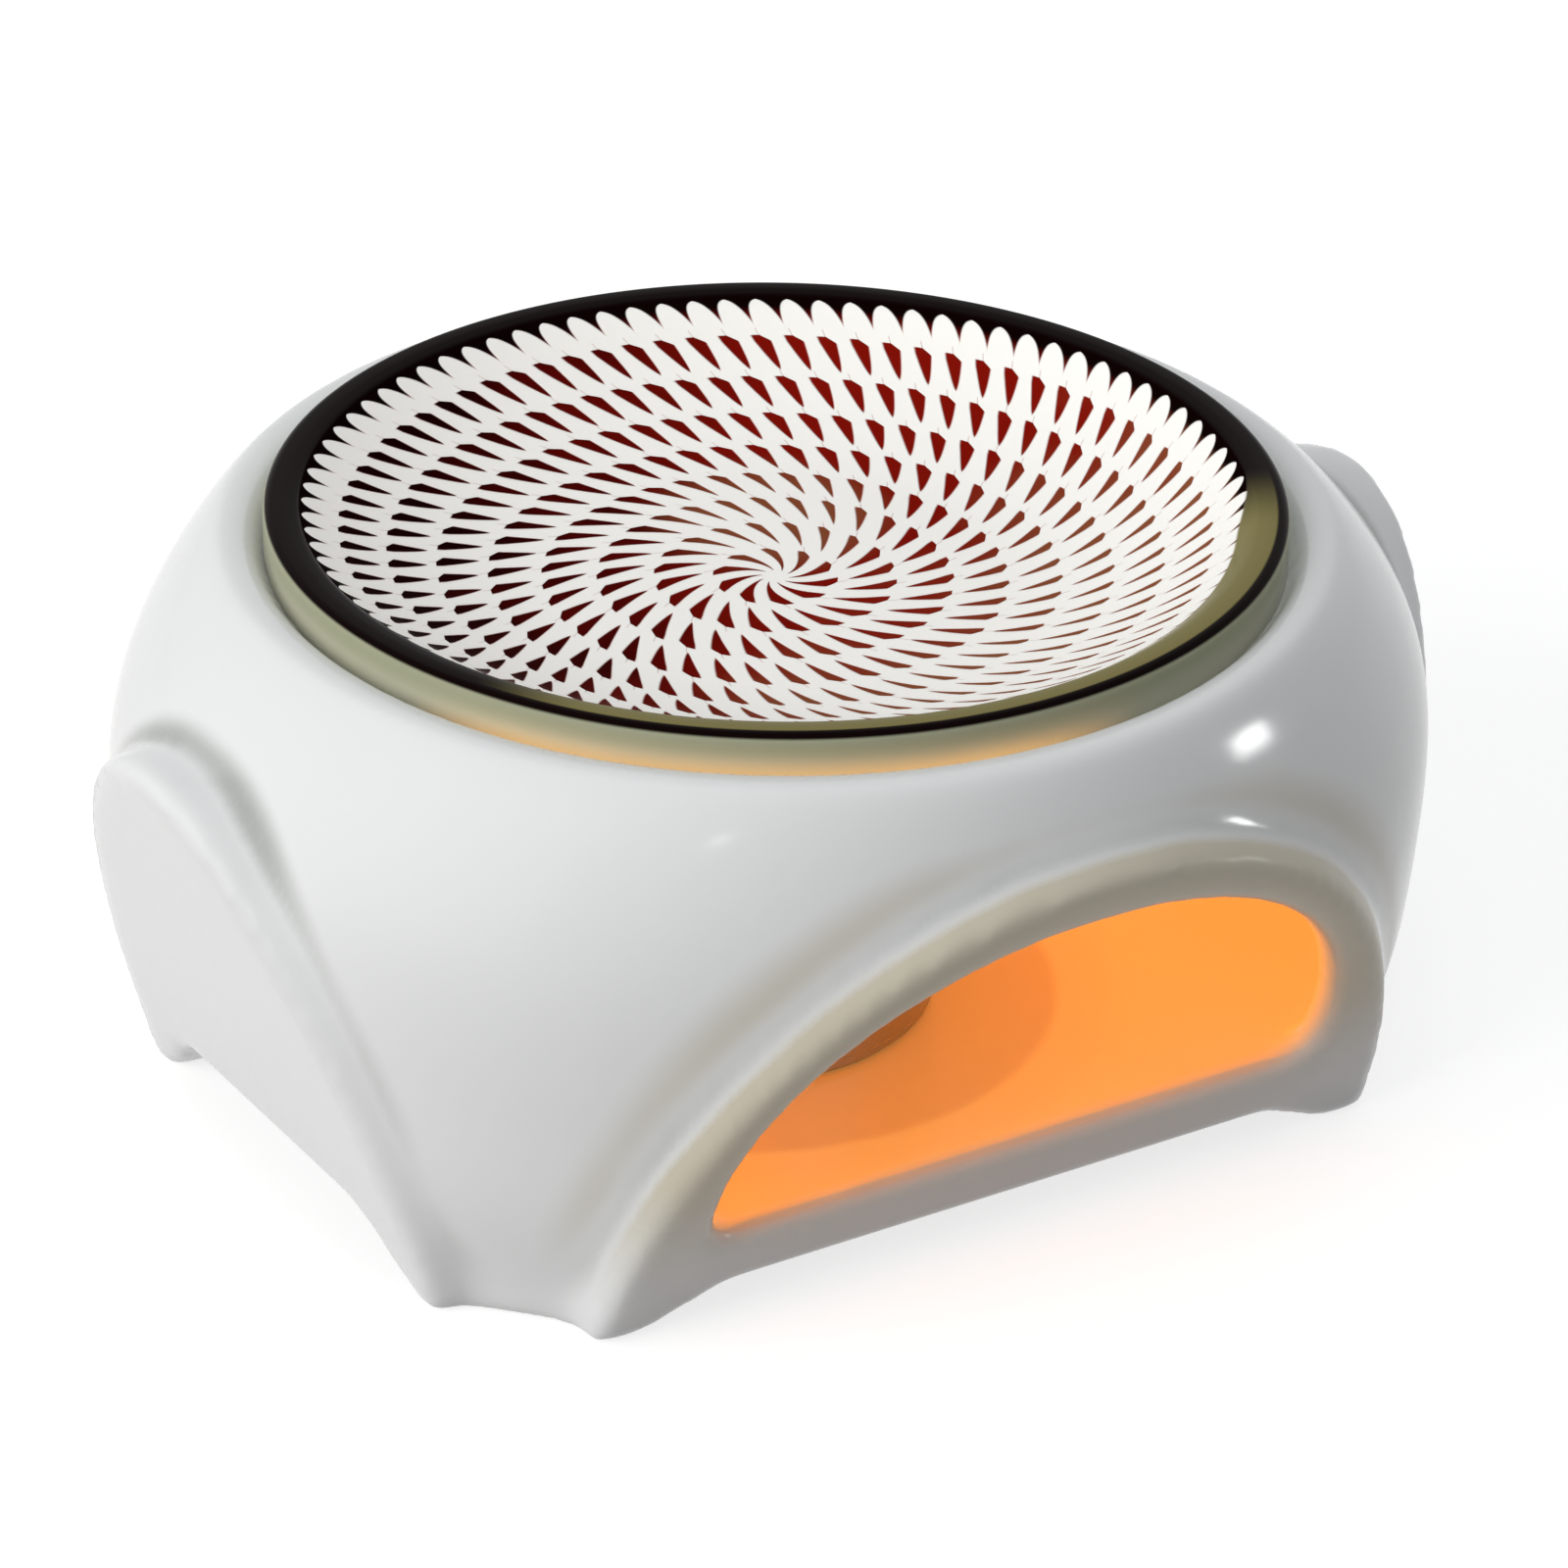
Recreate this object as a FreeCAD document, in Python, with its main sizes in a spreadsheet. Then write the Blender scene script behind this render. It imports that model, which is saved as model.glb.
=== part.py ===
# Tealight wax melt warmer: a glazed porcelain body on four corner feet, with a raised arch on each
# side, two of them open, a candle floor inside and a round mouth that carries a lift-off dish.
# Millimetres. +Z is up, the open arches face -Y and +Y, and the origin is on the ground under
# the middle of the mouth.
import FreeCAD, Part
import math
import os
import re
import Sketcher
from FreeCAD import Placement, Rotation, Vector

# The driving sizes: name, value and what it measures
SIZES = [
    ("dish_radius", 45.0, "outer radius of the dish"),
    ("dish_rim_height", 4.8, "height of the dish's rim above its seat"),
    ("dish_rim_width", 2.8, "width of the dish's rim"),
    ("dish_edge_radius", 0.9, "rounding of the dish's rim"),
    ("dish_depth", 7.6, "depth of the dish's bowl below the rim"),
    ("dish_wall", 2.4, "thickness of the bowl in its middle"),
    ("dish_foot_width", 9.0, "width of the flat ring under the dish"),
    ("dish_clearance", 0.4, "gap round the dish in its seat"),
    ("seat_depth", 2.2, "depth of the dish's seat below the lip"),
    ("seat_ledge", 3.0, "width and thickness of the ledge that carries the dish"),
    ("lip_width", 3.4, "width of the lip round the seat"),
    ("lip_radius", 1.4, "rounding of the lip's two edges"),
    ("body_height", 52.4, "height of the lip"),
    ("belly_drop", 21.4, "how far below the lip the barrel is widest"),
    ("belly_swell", 5.2, "how far the barrel swells beyond the lip, along Y"),
    ("belly_stretch", 6.0, "how much further it swells along X than along Y"),
    ("base_tuck", 5.0, "how far the barrel draws in from its widest to the ground, along Y"),
    ("base_tuck_end", 5.5, "the same, along X"),
    ("wall", 4.0, "thickness of the porcelain"),
    ("open_arch_drop", 8.9, "how far below the lip an open arch has its crown"),
    ("open_arch_inset", 14.5, "how far inside the barrel's end an open arch reaches the ground"),
    ("open_arch_proud", 3.0, "how far an open arch stands out of the barrel at its crown"),
    ("open_arch_foot_proud", 4.0, "how far an open arch stands out of the barrel at the ground"),
    ("end_arch_drop", 8.4, "how far below the lip an end arch has its crown"),
    ("end_arch_inset", 22.7, "how far inside the barrel's side an end arch reaches the ground"),
    ("end_arch_proud", 6.8, "how far an end arch stands out of the barrel at its crown"),
    ("end_arch_foot_proud", 3.2, "how far an end arch stands out of the barrel at the ground"),
    ("arch_root_radius", 3.0, "fillet where an arch meets the barrel"),
    ("arch_edge_radius", 1.2, "rounding of an arch's outer edge"),
    ("frame_width", 9.0, "width of an open arch's frame beside its opening"),
    ("frame_height", 5.5, "height of the frame over the opening's crown"),
    ("floor_level", 10.0, "height of the candle floor and of the openings' sills"),
    ("opening_rise", 3.8, "height of the opening's upright sides above the sill"),
    ("opening_corner", 3.4, "radius of the opening's lower corners"),
    ("opening_edge_radius", 1.0, "rounding of the opening's edge"),
    ("open_gap_height", 3.4, "height of the low arch under an open arch, between two feet"),
    ("end_gap_height", 6.0, "height of the low arch under an end arch, between two feet"),
    ("open_sole_width", 5.0, "width of a sole under the foot of an open arch"),
    ("end_sole_width", 4.3, "width of a sole under the foot of an end arch"),
    ("foot_flare", 7.0, "how far each side of a gap between feet draws in up to its top"),
    ("foot_gap_radius", 5.0, "fillet at the top corners of such a gap"),
    ("cup_radius", 19.0, "outer radius of the tealight cup"),
    ("cup_height", 15.0, "height of the tealight cup"),
    ("cup_wall", 0.4, "thickness of the cup's sheet"),
    ("cup_bead_radius", 0.5, "radius of the cup's curled edge"),
    ("cup_draft", 0.6, "how much narrower the cup is at its floor"),
    ("cup_shift_x", 7.0, "how far the tealight stands towards -X from the middle"),
    ("cup_shift_y", 5.0, "how far the tealight stands towards -Y from the middle"),
    ("wax_height", 11.4, "height of the wax above the candle floor"),
    ("wax_clearance", 0.15, "gap round the wax, which shrinks as it sets"),
    ("tab_radius", 6.0, "radius of the wick's tab"),
    ("tab_sheet", 0.3, "thickness of the tab's sheet"),
    ("ferrule_radius", 1.3, "outer radius of the tab's ferrule"),
    ("ferrule_height", 3.2, "height of the tab's ferrule"),
    ("wick_radius", 0.7, "radius of the wick"),
    ("wick_height", 16.0, "height of the wick above the candle floor"),
]
RINGS_BELOW_BELLY = 3
RINGS_ABOVE_BELLY = 4
FULL_TURN = 360
SHOULDER_SHARE = 0.125
SHOULDER_TURN = "%g deg" % (FULL_TURN * SHOULDER_SHARE)
UPRIGHT = Rotation(Vector(1, 0, 0), FULL_TURN / 4)
SIDEWAYS = Rotation(Vector(0, 1, 0), FULL_TURN / 4)
SIDES = ("open", "end")
CHECK_SHARES = (0.2, 0.5, 0.8)
NEAR_SHARE = 0.005
OPENING_SHARE = 0.9


def barrel_grow(level):
    """Formula for how much of its swell the barrel has at a level above its widest."""
    rise = "(%s - belly_level) / belly_drop * sin(%s)" % (level, SHOULDER_TURN)
    return "(sqrt(1 - (%s) ^ 2) - cos(%s)) / (1 - cos(%s))" % (rise, SHOULDER_TURN, SHOULDER_TURN)


# Sizes that follow from the driving ones, as formulas of them
DERIVED = {
    "seat_radius": "dish_radius + dish_clearance",
    "seat_level": "body_height - seat_depth",
    "throat_radius": "seat_radius - seat_ledge",
    "lip_outer_radius": "seat_radius + lip_width",
    "belly_level": "body_height - belly_drop",
    "belly_half_width": "lip_outer_radius + belly_swell",
    "belly_half_length": "belly_half_width + belly_stretch",
    "base_half_width": "belly_half_width - base_tuck",
    "base_half_length": "belly_half_length - base_tuck_end",
    "overrun": "2 * belly_half_length",
    "open_arch_half": "base_half_length - open_arch_inset",
    "open_arch_height": "body_height - open_arch_drop",
    "end_arch_half": "base_half_width - end_arch_inset",
    "end_arch_height": "body_height - end_arch_drop",
    "open_face_reach": "base_half_width * sqrt(1 - (open_arch_half / base_half_length) ^ 2)"
                       " + open_arch_foot_proud",
    "open_face_slope": "(lip_outer_radius + belly_swell * %s + open_arch_proud - open_face_reach)"
                       " / open_arch_height" % barrel_grow("open_arch_height"),
    "end_face_reach": "base_half_length * sqrt(1 - (end_arch_half / base_half_width) ^ 2)"
                      " + end_arch_foot_proud",
    "end_face_slope": "(lip_outer_radius + (belly_swell + belly_stretch) * %s"
                      " + end_arch_proud - end_face_reach)"
                      " / end_arch_height" % barrel_grow("end_arch_height"),
    "opening_half": "open_arch_half - frame_width",
    "opening_spring": "floor_level + opening_rise",
    "opening_crown": "open_arch_height - frame_height",
    "open_gap_half": "open_arch_half - open_sole_width",
    "end_gap_half": "end_arch_half - end_sole_width",
}

doc = FreeCAD.newDocument("wax_warmer")
sheet = doc.addObject("Spreadsheet::Sheet", "Sizes")
for row, (alias, value, meaning) in enumerate(SIZES, start=1):
    sheet.set("A%d" % row, meaning)
    sheet.set("B%d" % row, str(value))
    sheet.setAlias("B%d" % row, alias)
for row, (alias, formula) in enumerate(DERIVED.items(), start=len(SIZES) + 1):
    sheet.set("A%d" % row, "follows from the sizes above")
    sheet.set("B%d" % row, "=" + formula)
    sheet.setAlias("B%d" % row, alias)
doc.recompute()
ALIASES = re.compile(r"\b(%s)\b" % "|".join([alias for alias, value, meaning in SIZES] + list(DERIVED)))


def size(alias):
    """One driving size, read from the sheet."""
    return float(sheet.get(alias))


def bind(thing, **formulas):
    """Bind properties of a feature to formulas in the sheet's names; __ stands for a dot."""
    for path, text in formulas.items():
        thing.setExpression(path.replace("__", "."), ALIASES.sub(r"Sizes.\1", text))


def add(kind, name, **links):
    """A new feature with its links set."""
    thing = doc.addObject(kind, name)
    for key, link in links.items():
        setattr(thing, key, link)
    return thing


def edge_names(feature, wanted):
    """Names of the edges of a feature for which wanted(points) holds, points taken along each."""
    doc.recompute()
    names = []
    for number, edge in enumerate(feature.Shape.Edges, start=1):
        span = edge.LastParameter - edge.FirstParameter
        points = [edge.valueAt(edge.FirstParameter + share * span) for share in CHECK_SHARES]
        if wanted(points):
            names.append("Edge%d" % number)
    return names


def body_on(base, label):
    """A body that carries on from a solid made before it."""
    body = doc.addObject("PartDesign::Body", label)
    body.BaseFeature = base
    body.Label = label
    doc.recompute()
    return body


def round_edges(body, name, wanted, radius):
    """Fillet those edges of a body's tip for which wanted(points) holds."""
    names = edge_names(body.Tip, wanted)
    fillet = body.newObject("PartDesign::Fillet", name)
    fillet.Base = (fillet.BaseFeature or body.Tip, names)
    bind(fillet, Radius=radius)
    body.Tip = fillet
    doc.recompute()
    return fillet


def filleted(base, name, wanted, alias):
    """A primitive with those edges filleted for which wanted(points) holds."""
    rounded = add("Part::Fillet", name, Base=base)
    numbers = [int(edge[len("Edge"):]) for edge in edge_names(base, wanted)]
    rounded.Edges = [(number, size(alias), size(alias)) for number in numbers]
    return rounded


# Outer form and hollow of the barrel: elliptical rings, lofted. Below its widest level the barrel
# grows as a parabola, above it the shoulder turns in along a circular arc.
def rings(name, inset, start, top, mouth):
    """Rings from the start level over the belly to the mouth, drawn in by the inset."""
    sections = []
    for step in range(RINGS_BELOW_BELLY):
        level = "(%s + (belly_level - %s) * %r)" % (start, start, step / RINGS_BELOW_BELLY)
        grow = "(1 - (1 - %s / belly_level) ^ 2)" % level
        half_width = "base_half_width + base_tuck * %s - %s" % (grow, inset)
        stretch = "base_half_length - base_half_width + (base_tuck_end - base_tuck) * %s" % grow
        sections.append((half_width, stretch, level))
    for step in range(RINGS_ABOVE_BELLY + 1):
        turn = "(%s * %r)" % (SHOULDER_TURN, step / RINGS_ABOVE_BELLY)
        grow = "((cos(%s) - cos(%s)) / (1 - cos(%s)))" % (turn, SHOULDER_TURN, SHOULDER_TURN)
        level = "belly_level + (%s - belly_level) * sin(%s) / sin(%s)" % (top, turn, SHOULDER_TURN)
        half_width = "%s + (belly_half_width - %s - %s) * %s" % (mouth, inset, mouth, grow)
        sections.append((half_width, "belly_stretch * %s" % grow, level))
    made = []
    for number, (half_width, stretch, level) in enumerate(sections):
        ring = add("Part::Ellipse", "%s_ring_%d" % (name, number))
        bind(ring, MinorRadius=half_width, MajorRadius="%s + %s" % (half_width, stretch))
        bind(ring, Placement__Base__z=level)
        made.append(ring)
    return add("Part::Loft", name, Sections=made, Solid=True, Ruled=False)


def faces_wedge(name, inset):
    """The space between the four leaning faces, drawn in by the inset."""
    wedge = add("Part::Wedge", name)
    for axis, side in (("X", "end"), ("Z", "open")):
        low = "(%s_face_reach - %s)" % (side, inset)
        high = "(%s + body_height * %s_face_slope)" % (low, side)
        bind(wedge, **{axis + "min": "-" + low, axis + "max": low})
        bind(wedge, **{axis + "2min": "-" + high, axis + "2max": high})
    bind(wedge, Ymin="0", Ymax="body_height")
    wedge.Placement = Placement(Vector(), UPRIGHT)
    return wedge


def oval_prism(name, across, half_width, height, level):
    """A level elliptical prism right through the body, along Y or, where across is True, along X."""
    unit = add("Part::Cylinder", name + "_unit")
    unit.Radius = 1
    unit.Height = 1
    prism = add("Part::Scale", name, Base=unit, Uniform=False)
    if across:
        bind(prism, XScale=height, YScale=half_width, ZScale="2 * overrun")
        prism.Placement = Placement(Vector(), SIDEWAYS)
        bind(prism, Placement__Base__x="-overrun")
    else:
        bind(prism, XScale=half_width, YScale=height, ZScale="2 * overrun")
        prism.Placement = Placement(Vector(), UPRIGHT)
        bind(prism, Placement__Base__y="overrun")
    bind(prism, Placement__Base__z=level)
    return prism


def through_box(name, half_width, low, high):
    """A box right through the body along Y, between two levels."""
    box = add("Part::Box", name)
    bind(box, Length="2 * " + half_width, Width="2 * overrun", Height="%s - %s" % (high, low))
    bind(box, Placement__Base__x="-" + half_width, Placement__Base__y="-overrun", Placement__Base__z=low)
    return box


def near(gap):
    """Whether a gap between a point and a surface is as good as none."""
    return abs(gap) < NEAR_SHARE * size("wall")


def in_arch(point, side):
    """0 in the middle of an arch's outline, 1 on it."""
    across = point.x if side == "open" else point.y
    return (across / size(side + "_arch_half")) ** 2 + (point.z / size(side + "_arch_height")) ** 2


def off_face(point, side):
    """How far a point is from the nearer leaning face of that kind."""
    across = point.y if side == "open" else point.x
    return abs(across) - size(side + "_face_reach") - point.z * size(side + "_face_slope")


def on_arch(point):
    return any(abs(in_arch(point, side) - 1) < NEAR_SHARE for side in SIDES)


def on_face(point):
    return any(near(off_face(point, side)) for side in SIDES)


def outer_form():
    """The outside: barrel and arches in one, cut by the leaning faces, with soft roots and edges."""
    barrel = rings("barrel", "0", "0", "body_height", "lip_outer_radius")
    open_arches = oval_prism("open_arches", False, "open_arch_half", "open_arch_height", "0")
    end_arches = oval_prism("end_arches", True, "end_arch_half", "end_arch_height", "0")
    massed = add("Part::MultiFuse", "massed_form", Shapes=[barrel, open_arches, end_arches])
    outer_faces = faces_wedge("outer_faces", "0")
    faced = add("Part::MultiCommon", "faced_form", Shapes=[massed, outer_faces], Refine=True)
    form = body_on(faced, "outer_form")
    round_edges(form, "arch_roots", lambda points: all(
        on_arch(point) and not on_face(point) and not near(point.z) for point in points), "arch_root_radius")
    round_edges(form, "arch_edges", lambda points: all(
        on_arch(point) and on_face(point) for point in points), "arch_edge_radius")
    return form


def chamber():
    """The hollow over the candle floor, one wall inside the outside."""
    hollow = rings("hollow_rings", "wall", "floor_level", "(seat_level - seat_ledge)", "seat_radius")
    return add("Part::MultiCommon", "chamber", Shapes=[hollow, faces_wedge("inner_faces", "wall")])


def openings():
    """The way through both open arches: half an oval over a sill that is level with the floor."""
    rise = "(opening_crown - opening_spring)"
    oval = oval_prism("opening_ovals", False, "opening_half", rise, "opening_spring")
    upper = through_box("above_spring", "opening_half", "opening_spring", "body_height")
    sill = through_box("opening_sills", "opening_half", "floor_level", "opening_spring")
    rounded = filleted(sill, "sill_corners", lambda points: all(
        near(abs(point.x) - size("opening_half")) and near(point.z - size("floor_level"))
        for point in points), "opening_corner")
    return [add("Part::MultiCommon", "opening_crowns", Shapes=[oval, upper]), rounded]


def mouth():
    """The dish's seat, and the narrower throat under its ledge."""
    seat = add("Part::Cylinder", "dish_seat")
    bind(seat, Radius="seat_radius", Height="2 * seat_depth", Placement__Base__z="seat_level")
    throat = add("Part::Cylinder", "mouth_throat")
    bind(throat, Radius="throat_radius", Height="2 * seat_ledge + seat_depth")
    bind(throat, Placement__Base__z="seat_level - 2 * seat_ledge")
    return [seat, throat]


def foot_gap(name, side, narrow, wide):
    """A low arch through the underside; two of them, crossed, leave the corner feet."""
    gap = add("Part::Wedge", name)
    half = side + "_gap_half"
    bind(gap, **{narrow + "min": "-" + half, narrow + "max": half,
                 narrow + "2min": "foot_flare - " + half, narrow + "2max": half + " - foot_flare"})
    bind(gap, **{wide + "min": "-overrun", wide + "max": "overrun",
                 wide + "2min": "-overrun", wide + "2max": "overrun"})
    bind(gap, Ymin="0", Ymax=side + "_gap_height")
    gap.Placement = Placement(Vector(), UPRIGHT)

    def along_gap(points):
        """Along the gap's top on either side, so that the distance from its middle stays the same."""
        spots = [abs(point.x if side == "open" else point.y) for point in points]
        level = all(near(point.z - size(side + "_gap_height")) for point in points)
        return level and all(near(spot - size(half) + size("foot_flare")) for spot in spots)

    return filleted(gap, name + "_corners", along_gap, "foot_gap_radius")


def porcelain_body():
    """The warmer's body: the outside, less the hollow, openings, mouth and the gaps between feet."""
    form = outer_form()
    gaps = [foot_gap("gap_along_y", "open", "X", "Z"), foot_gap("gap_along_x", "end", "Z", "X")]
    cut_away = add("Part::MultiFuse", "cut_away", Shapes=[chamber()] + openings() + mouth() + gaps)
    hollowed = add("Part::Cut", "hollowed_form", Base=form, Tool=cut_away, Refine=True)
    body = body_on(hollowed, "warmer_body")
    lip_radii = (size("seat_radius"), size("lip_outer_radius"))
    round_edges(body, "mouth_lip", lambda points: all(
        near(point.z - size("body_height"))
        and any(near(math.hypot(point.x, point.y) - radius) for radius in lip_radii)
        for point in points), "lip_radius")
    round_edges(body, "opening_edges", lambda points: all(
        near(off_face(point, "open")) and in_arch(point, "open") < OPENING_SHARE
        and (near(point.z - size("floor_level")) or point.z > size("floor_level"))
        for point in points), "opening_edge_radius")
    return body


workings = doc.addObject("Spreadsheet::Sheet", "Workings")


def value_of(text):
    """What a formula in the sheet's names comes to."""
    workings.set("A1", "=" + ALIASES.sub(r"Sizes.\1", text))
    workings.recompute()
    return float(workings.get("A1"))


def turned(label, corners, placement):
    """A turned piece; each corner is (radius, height, centre radius of the arc to the next or None)."""
    body = doc.addObject("PartDesign::Body", label)
    body.Label = label
    sketch = body.newObject("Sketcher::SketchObject", label + "_profile")
    plane = [axis for axis in body.Origin.OriginFeatures if axis.Role == "XZ_Plane"][0]
    sketch.AttachmentSupport = (plane, [""])
    sketch.MapMode = "FlatFace"
    spots = [Vector(value_of(radius), value_of(height), 0) for radius, height, centre in corners]
    starts = []
    for number, (radius, height, centre) in enumerate(corners):
        here, there = spots[number], spots[(number + 1) % len(corners)]
        if centre is None:
            sketch.addGeometry(Part.LineSegment(here, there), False)
            starts.append(True)
            continue
        off = value_of(centre)
        squares = (here.x - off) ** 2 - (there.x - off) ** 2 + here.y ** 2 - there.y ** 2
        rise = squares / (2 * (here.y - there.y))
        middle = Vector(off, rise, 0)
        turn = (here - middle).cross(there - middle).z
        first, last = (here, there) if turn >= 0 else (there, here)
        angles = [math.atan2(spot.y - rise, spot.x - off) for spot in (first, last)]
        circle = Part.Circle(middle, Vector(0, 0, 1), (here - middle).Length)
        sketch.addGeometry(Part.ArcOfCircle(circle, *angles), False)
        starts.append(turn >= 0)
    for number, (radius, height, centre) in enumerate(corners):
        following = (number + 1) % len(corners)
        near = 1 if starts[number] else 2
        far = 3 - near
        sketch.addConstraint(Sketcher.Constraint(
            "Coincident", number, far, following, 1 if starts[following] else 2))
        for kind, axis, text, reach in (("DistanceX", -2, radius, spots[number].x),
                                        ("DistanceY", -1, height, spots[number].y)):
            pin(sketch, kind, axis, text, reach, number, near)
        if centre is not None:
            pin(sketch, "DistanceX", -2, centre, value_of(centre), number, 3)
    revolution = body.newObject("PartDesign::Revolution", label + "_turning")
    revolution.Profile = sketch
    revolution.ReferenceAxis = (sketch, ["V_Axis"])
    revolution.Angle = FULL_TURN
    body.Tip = revolution
    bind(body, **placement)
    doc.recompute()
    return body


def pin(sketch, kind, axis, text, reach, number, spot):
    """Pin a point of a sketch to an axis, or to a distance from it that a formula gives."""
    if reach == 0:
        sketch.addConstraint(Sketcher.Constraint("PointOnObject", number, spot, axis))
        return
    index = sketch.addConstraint(Sketcher.Constraint(kind, -1, 1, number, spot, reach))
    sketch.setExpression("Constraints[%d]" % index, ALIASES.sub(r"Sizes.\1", text))


warmer_body = porcelain_body()

# The dish, turned with a shallow bowl; its flat ring lies on the ledge
dish = turned("dish", [
    ("0", "dish_rim_height - dish_depth - dish_wall", "0"),
    ("dish_radius - dish_foot_width", "0", None),
    ("dish_radius", "0", None),
    ("dish_radius", "dish_rim_height", None),
    ("dish_radius - dish_rim_width", "dish_rim_height", "0"),
    ("0", "dish_rim_height - dish_depth", None),
], {"Placement__Base__z": "seat_level"})
round_edges(dish, "dish_rim_edges", lambda points: all(
    near(point.z - size("dish_rim_height")) for point in points), "dish_edge_radius")

# The tealight, with its parts inside one another
IN_WARMER = {"Placement__Base__x": "-cup_shift_x", "Placement__Base__y": "-cup_shift_y",
             "Placement__Base__z": "floor_level"}
tealight_cup = turned("tealight_cup", [
    ("0", "0", None),
    ("cup_radius - cup_bead_radius - cup_draft", "0", None),
    ("cup_radius - cup_bead_radius", "cup_height - 2 * cup_bead_radius", "cup_radius - cup_bead_radius"),
    ("cup_radius - cup_bead_radius", "cup_height", None),
    ("cup_radius - cup_bead_radius - cup_wall", "cup_height", None),
    ("cup_radius - cup_bead_radius - cup_wall - cup_draft", "cup_wall", None),
    ("0", "cup_wall", None),
], IN_WARMER)
wax_base = "cup_radius - cup_bead_radius - cup_wall - cup_draft - wax_clearance"
tealight_wax = turned("tealight_wax", [
    ("tab_radius + wax_clearance", "cup_wall", None),
    (wax_base, "cup_wall", None),
    (wax_base + " + cup_draft * (wax_height - cup_wall) / (cup_height - cup_wall)", "wax_height", None),
    ("wick_radius + wax_clearance", "wax_height", None),
    ("wick_radius + wax_clearance", "cup_wall + ferrule_height + wax_clearance", None),
    ("ferrule_radius + wax_clearance", "cup_wall + ferrule_height + wax_clearance", None),
    ("ferrule_radius + wax_clearance", "cup_wall + tab_sheet + wax_clearance", None),
    ("tab_radius + wax_clearance", "cup_wall + tab_sheet + wax_clearance", None),
], IN_WARMER)
wick_sustainer = turned("wick_sustainer", [
    ("wick_radius", "cup_wall", None),
    ("tab_radius", "cup_wall", None),
    ("tab_radius", "cup_wall + tab_sheet", None),
    ("ferrule_radius", "cup_wall + tab_sheet", None),
    ("ferrule_radius", "cup_wall + ferrule_height", None),
    ("wick_radius", "cup_wall + ferrule_height", None),
], IN_WARMER)
wick = turned("wick", [
    ("0", "cup_wall", None),
    ("wick_radius", "cup_wall", None),
    ("wick_radius", "wick_height", None),
    ("0", "wick_height", None),
], IN_WARMER)
doc.removeObject(workings.Name)
doc.recompute()

pieces = [warmer_body, dish, tealight_cup, tealight_wax, wick_sustainer, wick]
faults = [thing.Name for thing in doc.Objects if "Invalid" in thing.State or "Error" in thing.State]
for piece in pieces:
    if piece.Shape.isNull() or not piece.Shape.isValid() or len(piece.Shape.Solids) != 1:
        faults.append(piece.Label)
if faults:
    raise RuntimeError("not sound: " + ", ".join(faults))
os.makedirs("parts", exist_ok=True)
for piece in pieces:
    piece.Shape.exportStep("parts/%s.step" % piece.Label)
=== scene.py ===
import math

import bpy
import numpy as np
from bpy.props import FloatProperty, FloatVectorProperty, IntProperty, PointerProperty
from mathutils import Matrix, Vector


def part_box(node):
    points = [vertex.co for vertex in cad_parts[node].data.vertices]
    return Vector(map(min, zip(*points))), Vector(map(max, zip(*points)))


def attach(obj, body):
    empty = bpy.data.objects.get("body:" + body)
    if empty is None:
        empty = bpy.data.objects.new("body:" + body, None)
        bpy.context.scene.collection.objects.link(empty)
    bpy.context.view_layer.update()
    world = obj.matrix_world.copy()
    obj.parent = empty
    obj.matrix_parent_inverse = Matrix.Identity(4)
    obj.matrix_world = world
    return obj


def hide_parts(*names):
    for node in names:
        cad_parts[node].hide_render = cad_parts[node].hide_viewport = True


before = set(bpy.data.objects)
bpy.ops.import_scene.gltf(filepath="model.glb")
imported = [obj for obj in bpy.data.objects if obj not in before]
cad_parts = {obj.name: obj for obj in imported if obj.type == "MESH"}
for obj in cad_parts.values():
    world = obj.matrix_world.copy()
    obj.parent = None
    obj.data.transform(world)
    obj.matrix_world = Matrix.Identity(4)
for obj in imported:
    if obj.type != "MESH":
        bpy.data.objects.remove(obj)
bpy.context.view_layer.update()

bl_info = {
    "name": "Porcelain wax melt warmer",
    "version": (1, 0, 0),
    "blender": (4, 5, 0),
    "location": "View3D > Sidebar > Warmer",
    "description": "A glazed warmer with a patterned lift-off dish and a lit tealight, on a pale floor",
    "category": "Object",
}

MM = 0.001
BODY_LOW, BODY_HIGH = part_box("warmer_body")
DISH_LOW, DISH_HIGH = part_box("dish")
CUP_LOW, CUP_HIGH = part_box("tealight_cup")
WAX_LOW, WAX_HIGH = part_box("tealight_wax")
TAB_LOW, TAB_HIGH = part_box("wick_sustainer")
WICK_LOW, WICK_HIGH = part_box("wick")
CANDLE_MIDDLE = (CUP_LOW + CUP_HIGH) / 2


def linear(code):
    """An sRGB hex colour as linear RGBA."""
    parts = [int(code[start:start + 2], 16) / 255 for start in (1, 3, 5)]
    return tuple(part / 12.92 if part <= 0.04045 else ((part + 0.055) / 1.055) ** 2.4
                 for part in parts) + (1.0,)


def colour(name, code, description):
    """A colour setting with an sRGB hex default."""
    return FloatVectorProperty(name=name, description=description, default=linear(code)[:3],
                               subtype="COLOR", size=3, min=0.0, max=1.0)


def length(name, millimetres, description):
    """A length setting with its default in millimetres."""
    return FloatProperty(name=name, description=description, default=millimetres * MM,
                         min=0.0, precision=5, subtype="DISTANCE", unit="LENGTH")


def number(name, value, description):
    """A plain number setting."""
    return FloatProperty(name=name, description=description, default=value, min=0.0)


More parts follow.
